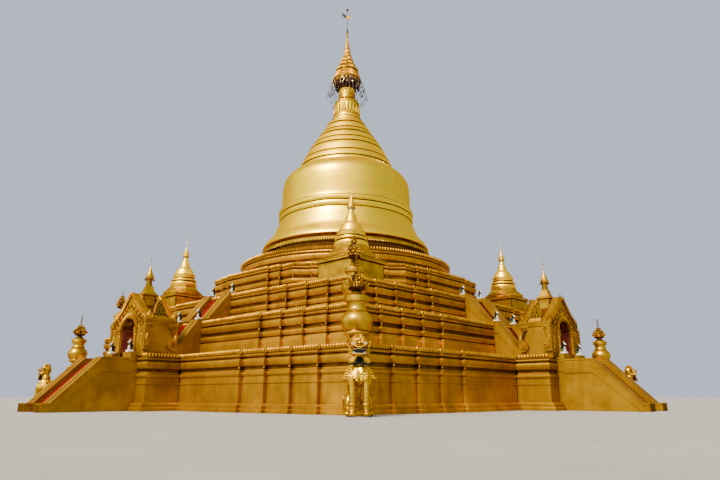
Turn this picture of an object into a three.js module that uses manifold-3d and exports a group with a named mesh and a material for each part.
// A gilded stupa as a scale model at half its real size, in millimetres, +Z up.
// The origin is on the axis at ground level, with the four sides square to X and Y.
import * as THREE from 'three';
import { mergeVertices } from 'three/addons/utils/BufferGeometryUtils.js';
import Module from 'manifold-3d';

const wasm = await Module();
wasm.setup();

// Driving dimensions
const seat = 0.3; // gap that touching pieces keep
const crestLip = 100; // crest above the walkway behind it
const crestThickness = 160;
const redentStep = 150;

const terrace1 = { half: 12400, crest: 2330, base: 0, breaks: [6230, 7540, 8800, 10075] };
const terrace2 = { half: 10960, crest: 3985, base: 2230, breaks: [5480, 6660, 7820, 9000] };
const terrace3 = { half: 9450, crest: 5470, base: 3885, breaks: [4000, 5150, 6330, 7510] };
const porch = { half: 2035, front: 13945 };
const octagon = { half: 7730, corner: 3400, crest: 7090, base: 5370, breaks: [1805, 2570], bay: 630, bayStep: 85 };
const roundTerrace = { radius: 6560, crest: 8270, base: 6990 };

const stairHalf = 500; // walking width from the middle to a balustrade
const balustradeHalf = 1200;
// A flight runs from its inner face down its runs of steps: [head x, head z, foot x, foot z, count].
const lowerStair = {
  inner: 13700, top: 2230, floor: 0,
  runs: [[13960, 2230, 14200, 1950, 3], [15350, 1950, 17280, 0, 21]],
  rail: [
    [13700, 2230], [14030, 2230], [14030, 2400], [14270, 2400],
    [14270, 2150], [15390, 2150], [17180, 330], [17480, 330],
  ],
};
const middleStair = {
  inner: 10760, top: 3885, floor: 2230,
  runs: [[11030, 3885, 12180, 2230, 15]],
  rail: [[10760, 4080], [11130, 4080], [12280, 2520], [12360, 2520]],
};
const upperStair = {
  inner: 8980, top: 5370, floor: 3885,
  runs: [[9390, 5370, 10540, 3885, 14]],
  rail: [[8980, 5565], [9490, 5565], [10650, 4140], [10740, 4140]],
};

const portal = {
  back: 12450, front: 13925, half: 1520, passage: 600, slab: 470,
  floor: 2230, spring: 3450, archRise: 460, cornice: 3640, eave: 3800, ridge: 5060, spireAt: 13150, spireTip: 7185,
};

const bellBase = 9400;
const coneBase = 15075;
const neckBase = 18540;
const budBase = 20353;
const umbrellaBase = 22000;
const umbrellaTop = 25300;
const rodRadius = 22;
const vane = { bottom: 27120, top: 27480, thickness: 16, sleeve: 38, turn: 43 };
const tip = 28275;

const cornerStupaAt = 7195;
const lowerVaseAt = 11410;
const upperVaseAt = 9800;
const plinthFlare = 190; // foot of the lowest terrace beyond its crest
const lionBack = 700; // from a lion's middle to its back, which sits against the terrace corner
const lionAt = terrace1.half - terrace1.breaks.length * redentStep + plinthFlare + (lionBack + seat) / Math.SQRT2;

// Finishes
function gold(color, roughness, metalness) {
  return new THREE.MeshStandardMaterial({ color, roughness, metalness });
}

// Geometry helpers
function weld(geometry) {
  const bare = geometry.clone();
  bare.deleteAttribute('normal');
  bare.deleteAttribute('uv');
  const merged = mergeVertices(bare, 0.01);
  const index = merged.index.array;
  const kept = [];
  for (let i = 0; i < index.length; i += 3) {
    const [a, b, c] = [index[i], index[i + 1], index[i + 2]];
    if (a !== b && b !== c && c !== a) kept.push(a, b, c);
  }
  merged.setIndex(kept);
  return merged;
}

function toManifold(geometry) {
  const welded = weld(geometry);
  return new wasm.Manifold(new wasm.Mesh({
    numProp: 3,
    vertProperties: new Float32Array(welded.attributes.position.array),
    triVerts: new Uint32Array(welded.index.array),
  }));
}

function fromManifold(solid) {
  const mesh = solid.getMesh();
  const geometry = new THREE.BufferGeometry();
  geometry.setAttribute('position', new THREE.BufferAttribute(mesh.vertProperties, 3));
  geometry.setIndex(Array.from(mesh.triVerts));
  return geometry;
}

function join(geometries) {
  return fromManifold(geometries.map(toManifold).reduce((a, b) => a.add(b)));
}

function cut(geometry, tools) {
  return fromManifold(tools.map(toManifold).reduce((a, b) => a.subtract(b), toManifold(geometry)));
}

function box(x0, x1, y0, y1, z0, z1) {
  const geometry = new THREE.BoxGeometry(x1 - x0, y1 - y0, z1 - z0);
  return geometry.translate((x0 + x1) / 2, (y0 + y1) / 2, (z0 + z1) / 2);
}

function turned(profile, segments, x = 0, y = 0) {
  const points = profile.map(([r, z]) => new THREE.Vector2(r, z));
  const geometry = new THREE.LatheGeometry(points, segments);
  return geometry.rotateX(Math.PI / 2).rotateZ(Math.PI / segments).translate(x, y, 0);
}

// A side profile in X and Z, as wide as y0 to y1.
function sideExtrusion(points, y0, y1) {
  const shape = new THREE.Shape(points.map(([x, z]) => new THREE.Vector2(x, z)));
  const geometry = new THREE.ExtrudeGeometry(shape, { depth: y1 - y0, bevelEnabled: false });
  return geometry.rotateX(Math.PI / 2).translate(0, y1, 0);
}

// A front profile in Y and Z, as deep as x0 to x1.
function frontExtrusion(points, x0, x1) {
  const shape = new THREE.Shape(points.map(([y, z]) => new THREE.Vector2(y, z)));
  const geometry = new THREE.ExtrudeGeometry(shape, { depth: x1 - x0, bevelEnabled: false });
  return geometry.rotateX(Math.PI / 2).rotateZ(Math.PI / 2).translate(x0, 0, 0);
}

// Carries a moulding profile, pairs of offset and height, round a closed outline.
function moulded(outline, profile) {
  const count = outline.length;
  const miters = outline.map((point, i) => {
    const before = outline[(i + count - 1) % count];
    const after = outline[(i + 1) % count];
    const n1 = new THREE.Vector2(point[1] - before[1], before[0] - point[0]).normalize();
    const n2 = new THREE.Vector2(after[1] - point[1], point[0] - after[0]).normalize();
    return n1.clone().add(n2).divideScalar(1 + n1.dot(n2));
  });
  const positions = [];
  const index = [];
  for (const [offset, z] of profile) {
    outline.forEach(([x, y], i) => positions.push(x + miters[i].x * offset, y + miters[i].y * offset, z));
  }
  for (let row = 0; row + 1 < profile.length; row += 1) {
    for (let i = 0; i < count; i += 1) {
      const j = (i + 1) % count;
      const [a, b] = [row * count + i, row * count + j];
      index.push(a, b, b + count, a, b + count, a + count);
    }
  }
  const last = (profile.length - 1) * count;
  const ring = (row) => outline.map((_, i) => new THREE.Vector2(
    positions[3 * (row + i)], positions[3 * (row + i) + 1]));
  for (const [a, b, c] of THREE.ShapeUtils.triangulateShape(ring(0), [])) index.push(c, b, a);
  for (const [a, b, c] of THREE.ShapeUtils.triangulateShape(ring(last), [])) index.push(last + a, last + b, last + c);
  const geometry = new THREE.BufferGeometry();
  geometry.setAttribute('position', new THREE.Float32BufferAttribute(positions, 3));
  geometry.setIndex(index);
  return geometry;
}

// Outline of a square terrace: each side steps in towards its corners.
function terraceOutline({ half, breaks }) {
  const side = [];
  const corner = half - breaks.length * redentStep;
  side.push([corner, -corner]);
  [...breaks].reverse().forEach((at, i) => {
    const plane = corner + i * redentStep;
    side.push([plane, -at], [plane + redentStep, -at]);
  });
  breaks.forEach((at, i) => {
    const plane = half - i * redentStep;
    side.push([plane, at], [plane - redentStep, at]);
  });
  const outline = [];
  for (let quarter = 0; quarter < 4; quarter += 1) {
    side.forEach(([x, y]) => {
      const turns = [[x, y], [-y, x], [-x, -y], [y, -x]];
      outline.push(turns[quarter]);
    });
  }
  return outline;
}

// Bands of a terrace wall under its crest: petals, slab, large slab, recess and lower slab.
function wallProfile(base, crest) {
  return [
    [40, base], [-30, base + 150], [-30, crest - 840],
    [-170, crest - 800], [-170, crest - 700],
    [0, crest - 660], [0, crest],
    [-crestThickness, crest], [-crestThickness, crest - crestLip],
  ];
}

function plinthProfile(base, crest) {
  return [
    [plinthFlare, base], [plinthFlare, base + 150], [-110, base + 300], [-110, crest - 720],
    [0, crest - 660], [0, crest],
    [-crestThickness, crest], [-crestThickness, crest - crestLip],
  ];
}

const group = new THREE.Group();

function add(name, geometry, material, turn = 0) {
  const mesh = new THREE.Mesh(weld(geometry), material);
  mesh.name = name;
  mesh.rotation.z = turn;
  group.add(mesh);
}

const sides = ['east', 'north', 'west', 'south'];
const corners = ['north_east', 'north_west', 'south_west', 'south_east'];
const quarterTurn = Math.PI / 2;

// Sockets that the stair flights stand in, one on each side.
function stairSockets(stair) {
  const reach = 6000;
  const socket = box(stair.inner - seat, stair.inner + reach, -balustradeHalf - seat, balustradeHalf + seat,
    stair.floor - 10, stair.top + 1000);
  return sides.map((_, i) => socket.clone().rotateZ(i * quarterTurn));
}

// The crest of the lowest terrace is open where a porch joins it.
function crestOpenings() {
  const reach = porch.half - crestThickness;
  const opening = box(terrace1.half - 300, terrace1.half + 10, -reach, reach, terrace1.crest - crestLip,
    terrace1.crest + 10);
  return sides.map((_, i) => opening.clone().rotateZ(i * quarterTurn));
}

// Terraces
add('terrace_1', cut(moulded(terraceOutline(terrace1), plinthProfile(terrace1.base, terrace1.crest)),
  crestOpenings()), gold(0xc08a2a, 0.5, 0.6));
add('terrace_2', cut(moulded(terraceOutline(terrace2), wallProfile(terrace2.base, terrace2.crest)),
  stairSockets(middleStair)), gold(0xc08a2a, 0.5, 0.6));
add('terrace_3', cut(moulded(terraceOutline(terrace3), wallProfile(terrace3.base, terrace3.crest)),
  stairSockets(upperStair)), gold(0xc08a2a, 0.5, 0.6));

// A porch carries each portal: a block against the lowest terrace, as high as its walkway at the middle.
function porchSolid() {
  const { half, front } = porch;
  const inside = terrace1.half - 400;
  const block = moulded([[inside, -half], [front, -half], [front, half], [inside, half]],
    plinthProfile(terrace1.base, terrace1.crest));
  const wall = plinthProfile(terrace1.base, terrace1.crest).filter(([offset]) => offset > -crestThickness)
    .map(([offset, z]) => [terrace1.half + offset + seat, z]);
  const [footX] = wall[0];
  const [topX, topZ] = wall.at(-1);
  const behind = [[terrace1.half - 1500, -10], [footX, -10], ...wall, [topX, topZ + 200],
    [terrace1.half - 1500, topZ + 200]];
  const clear = portal.half + 60 + seat;
  return cut(block, [
    sideExtrusion(behind, -half - 400, half + 400),
    box(portal.back - 100, front + 400, -clear, clear, portal.floor, portal.floor + 500),
    box(terrace1.half - 10, portal.back, crestThickness - half, half - crestThickness, portal.floor,
      portal.floor + 500),
    stairSockets(lowerStair)[0],
  ]);
}
const porchShape = porchSolid();
sides.forEach((side, i) => add(`${side}_porch`, porchShape, gold(0xc08a2a, 0.5, 0.6), i * quarterTurn));

// The eight-sided terrace has two small steps in each main side next to its diagonal sides,
// and each diagonal side has a bay that stands a little forward.
function octagonOutline() {
  const { half, corner, breaks, bay, bayStep } = octagon;
  const [near, far] = breaks;
  const [first, second] = [half - redentStep, half - 2 * redentStep];
  const side = [
    [second, -corner], [second, -far], [first, -far], [first, -near], [half, -near],
    [half, near], [first, near], [first, far], [second, far], [second, corner],
    [second - bay, corner + bay], [second - bay + bayStep, corner + bay + bayStep],
    [corner + bay + bayStep, second - bay + bayStep], [corner + bay, second - bay],
  ];
  return [0, 1, 2, 3].flatMap((quarter) => side.map(([x, y]) => [[x, y], [-y, x], [-x, -y], [y, -x]][quarter]));
}
add('octagon_terrace', moulded(octagonOutline(), wallProfile(octagon.base, octagon.crest)),
  gold(0xc8922e, 0.45, 0.7));

const roundSegments = 32;
function roundProfile(radius, base, crest) {
  const wall = wallProfile(base, crest).map(([offset, z]) => [radius + offset, z]);
  return [[0, base], ...wall, [0, crest - crestLip]];
}
add('round_terrace', turned(roundProfile(roundTerrace.radius, roundTerrace.base, roundTerrace.crest), roundSegments),
  gold(0xcf9a34, 0.42, 0.75));

add('lotus_base', turned([
  [0, roundTerrace.crest - crestLip], [5900, roundTerrace.crest - crestLip], [5820, 8380], [5300, 8440],
  [5180, 8900], [5340, 9080], [5360, 9180], [5150, 9230], [5080, bellBase], [0, bellBase],
], roundSegments), gold(0xd9a63c, 0.4, 0.8));

// Bell and spire
add('bell', turned([
  [0, bellBase], [5130, bellBase], [5310, 9430], [5230, 9775], [5020, 10060], [4740, 10320], [4480, 10720],
  [4344, 11116], [4310, 11290], [4380, 11480], [4390, 12000], [4230, 12300], [4200, 13275], [4142, 13875],
  [4010, 14150], [3800, 14420], [3500, 14680], [3320, 14850], [3110, 14950], [3080, coneBase], [0, coneBase],
], roundSegments), gold(0xe3b75a, 0.22, 1));

// Cone of three double rings and a cap: outer radius and height at the foot and head of each ring.
const coneRings = [
  [3150, 15110, 2935, 15590], [2915, 15620, 2600, 16310], [2560, 16370, 2335, 16780], [2305, 16810, 2020, 17310],
  [1970, 17375, 1745, 17705], [1715, 17740, 1465, 18230], [1410, 18300, 1300, 18510],
];
function ringedCone() {
  const rings = coneRings.flatMap(([footR, footZ, headR, headZ]) => [[footR, footZ], [headR, headZ]]);
  return [[0, coneBase], [3080, coneBase], ...rings, [1250, neckBase], [0, neckBase]];
}
add('ringed_cone', turned(ringedCone(), 24), gold(0xdcab45, 0.3, 0.9));
add('lotus_neck', turned([
  [0, neckBase], [1250, neckBase], [1080, 18850], [935, 19180], [905, 19400], [905, 20150],
  [700, 20230], [680, budBase], [0, budBase],
], 16), gold(0xd5a23a, 0.4, 0.8));
add('bud', turned([
  [0, budBase], [660, budBase], [640, 20800], [565, 21170], [600, 21600], [560, umbrellaBase], [0, umbrellaBase],
], 16), gold(0xdcab45, 0.3, 0.9));

const umbrellaTiers = [
  [975, 22060], [800, 22760], [600, 23190], [440, 23565], [325, 23940], [235, 24250], [175, 24625], [125, 24950],
];
function umbrellaProfile() {
  const profile = [[0, umbrellaBase], [940, umbrellaBase]];
  umbrellaTiers.forEach(([radius, z], i) => {
    const next = umbrellaTiers[i + 1] ?? [60, umbrellaTop];
    profile.push([radius, z], [next[0] * 0.85, next[1] - 60]);
  });
  return [...profile, [50, umbrellaTop], [0, umbrellaTop]];
}
add('umbrella', turned(umbrellaProfile(), 16), gold(0xd09a3a, 0.35, 0.9));

const collarTop = vane.bottom - seat;
add('finial_rod', turned([
  [0, umbrellaTop], [45, umbrellaTop], [45, 25560], [110, 25645], [45, 25740], [34, 26050],
  [30, 26900], [60, 27060], [60, collarTop], [rodRadius, collarTop], [rodRadius, 27800],
  [0, 27800],
], 8), gold(0xd8a840, 0.3, 1));
add('diamond_bud', turned([
  [0, 27800], [rodRadius + 10, 27800], [95, 27905], [20, 28010], [30, 28140], [12, tip - 20], [0, tip],
], 8), gold(0xe0c070, 0.2, 1));

// The vane is a crescent that rides on the rod by a sleeve.
function vaneSolid() {
  const half = vane.thickness / 2;
  const crescent = [
    [300, 27150], [110, 27370], [-190, 27510], [-460, 27700], [-360, 27400], [-230, 27270], [-75, 27185], [120, 27140],
  ];
  const sleeve = turned([[0, vane.bottom], [vane.sleeve, vane.bottom], [vane.sleeve, vane.top], [0, vane.top]], 8);
  const bore = turned([[0, vane.bottom - 10], [rodRadius + 2, vane.bottom - 10], [rodRadius + 2, vane.top + 10],
    [0, vane.top + 10]], 8);
  return cut(join([sleeve, sideExtrusion(crescent, -half, half)]), [bore]);
}
add('vane', vaneSolid(), gold(0xe0b04a, 0.3, 1), THREE.MathUtils.degToRad(vane.turn));

// Corner stupas on square plinths
function cornerStupa() {
  const base = terrace3.crest - crestLip;
  const at = cornerStupaAt;
  const body = box(at - 1075, at + 1075, at - 1075, at + 1075, base, 6480);
  const foot = box(at - 1150, at + 1150, at - 1150, at + 1150, base, 5620);
  const eave = box(at - 1170, at + 1170, at - 1170, at + 1170, 6440, 6605);
  const dome = turned([
    [0, 6600], [1150, 6600], [1150, 6780], [860, 7070], [780, 7215], [800, 7400], [745, 7500], [700, 7660],
    [668, 7700], [668, 7915], [475, 8255], [300, 8455], [250, 8690], [110, 8900], [110, 9130], [195, 9200],
    [60, 9620], [15, 9960], [0, 10555],
  ], 12, at, at);
  return join([body, foot, eave, dome]);
}

// Flower vase on a terrace corner
function vaseSolid(at, base, size) {
  const pedestal = [[0, base - crestLip], [220, base - crestLip], [220, base + 5]];
  const profile = [
    [300, 5 / size], [300, 120], [425, 250], [425, 372], [551, 712], [365, 1060], [320, 1268],
    [419, 1390], [419, 1577], [170, 1746], [404, 2000], [90, 2480], [0, 3080],
  ];
  return turned([...pedestal, ...profile.map(([r, z]) => [r * size, base + z * size])], 8, at, at);
}

// Seated guardian lion, facing out along the diagonal
function ellipsoid(x, y, z, rx, ry, rz, tilt = 0) {
  const ball = new THREE.SphereGeometry(1, 6, 4).rotateX(Math.PI / 2);
  return ball.scale(rx, ry, rz).rotateY(THREE.MathUtils.degToRad(tilt)).translate(x, y, z);
}
function lionSolid() {
  const legs = [-1, 1].map((s) => turned([[0, 0], [170, 0], [120, 200], [130, 1200], [0, 1200]], 6,
    430, s * 210));
  const haunches = [-1, 1].flatMap((s) => [
    ellipsoid(-430, s * 300, 430, 470, 210, 430),
    box(-350, 250, s * 330 - 110, s * 330 + 110, 0, 150),
  ]);
  const parts = [
    ...legs, ...haunches,
    ellipsoid(-120, 0, 900, 430, 380, 760, 22),
    ellipsoid(160, 0, 1330, 400, 450, 300),
    ellipsoid(210, 0, 1930, 330, 320, 380),
    ellipsoid(460, 0, 1830, 250, 220, 170),
    turned([[0, 2200], [200, 2200], [90, 2380], [0, 2480]], 8, 170, 0),
    box(-lionBack, -200, -200, 200, 0, 400),
  ];
  return join(parts).rotateZ(Math.PI / 4).translate(lionAt, lionAt, 0);
}

const cornerGold = gold(0xd8a640, 0.35, 0.85);
const cornerShape = cornerStupa();
const lowerVase = vaseSolid(lowerVaseAt, terrace1.crest, 1);
const upperVase = vaseSolid(upperVaseAt, terrace2.crest, 0.91);
const lion = lionSolid();
corners.forEach((corner, i) => {
  add(`${corner}_stupa`, cornerShape, cornerGold, i * quarterTurn);
  add(`${corner}_lower_vase`, lowerVase, cornerGold, i * quarterTurn);
  add(`${corner}_upper_vase`, upperVase, cornerGold, i * quarterTurn);
  add(`${corner}_lion`, lion, cornerGold, i * quarterTurn);
});

// Stairs: a flight of steps between two balustrades
function stairSolid(stair) {
  const flight = [[stair.inner, stair.floor], [stair.inner, stair.top]];
  for (const [headX, headZ, footX, footZ, count] of stair.runs) {
    const tread = (footX - headX) / count;
    const rise = (headZ - footZ) / count;
    for (let i = 0; i < count; i += 1) {
      flight.push([headX + i * tread, headZ - i * rise], [headX + i * tread, headZ - (i + 1) * rise]);
    }
  }
  const [lastX] = flight.at(-1);
  if (flight.at(-1)[1] > stair.floor) flight.push([lastX, stair.floor]);
  const rail = [[stair.inner, stair.floor], ...stair.rail, [stair.rail.at(-1)[0], stair.floor]];
  const steps = sideExtrusion(flight, -stairHalf - 20, stairHalf + 20);
  const railOutlines = [[-balustradeHalf, -stairHalf], [stairHalf, balustradeHalf]];
  return join([steps, ...railOutlines.map(([y0, y1]) => sideExtrusion(rail, y0, y1))]);
}
const stairRed = gold(0x9c3b2a, 0.7, 0);
[['lower', lowerStair], ['middle', middleStair], ['upper', upperStair]].forEach(([level, stair]) => {
  const shape = stairSolid(stair);
  sides.forEach((side, i) => add(`${side}_${level}_stair`, shape, stairRed, i * quarterTurn));
});

// Portals over the stair heads
function portalWall(s) {
  const y = [s * portal.passage, s * portal.half].sort((a, b) => a - b);
  const plinth = [s * portal.passage, s * (portal.half + 60)].sort((a, b) => a - b);
  return join([
    box(portal.back, portal.front, ...y, portal.floor, portal.spring),
    box(portal.back - 35, portal.front + 5, ...plinth, portal.floor, portal.floor + 220),
  ]);
}
function gableOutline(half, base, peak) {
  const foot = 185;
  const flank = [[half, base], [half, base + foot], [half * 0.5, base + foot + (peak - base - foot) * 0.42]];
  return [...flank, [0, peak], ...[...flank].reverse().map(([y, z]) => [-y, z])];
}
// The roof has a thick gable at its front and its back, a lower roof between them and a small spire.
function portalRoof() {
  const { back, front, half, passage, slab, spring, cornice, eave, ridge, spireAt } = portal;
  const archSegments = 8;
  const arch = [[passage, spring - 10]];
  for (let i = 0; i <= archSegments; i += 1) {
    const angle = Math.PI * i / archSegments;
    arch.push([passage * Math.cos(angle), spring + portal.archRise * Math.sin(angle)]);
  }
  arch.push([-passage, spring - 10]);
  const gable = gableOutline(half, eave - 5, ridge);
  const solid = join([
    box(back, front, -half, half, spring + seat, cornice + 10),
    box(back - 40, front + 40, -half - 40, half + 40, cornice, eave),
    frontExtrusion(gable, front - slab, front),
    frontExtrusion(gable, back, back + slab),
    frontExtrusion(gableOutline(half - 260, eave - 5, ridge - 260), back + slab - 5, front - slab + 5),
    turned([
      [0, 4300], [320, 4300], [320, 5040], [390, 5060], [390, 5110], [185, 5330], [100, 5620], [100, 5800],
      [215, 5880], [190, 6020], [60, 6400], [15, 6600], [0, portal.spireTip],
    ], 8, spireAt, 0),
  ]);
  return cut(solid, [frontExtrusion(arch, back - 100, front + 100)]);
}
const portalGold = gold(0xd8902a, 0.5, 0.5);
const wallRight = portalWall(1);
const wallLeft = portalWall(-1);
const roofShape = portalRoof();
sides.forEach((side, i) => {
  add(`${side}_portal_right_wall`, wallRight, portalGold, i * quarterTurn);
  add(`${side}_portal_left_wall`, wallLeft, portalGold, i * quarterTurn);
  add(`${side}_portal_roof`, roofShape, portalGold, i * quarterTurn);
});

export default group;
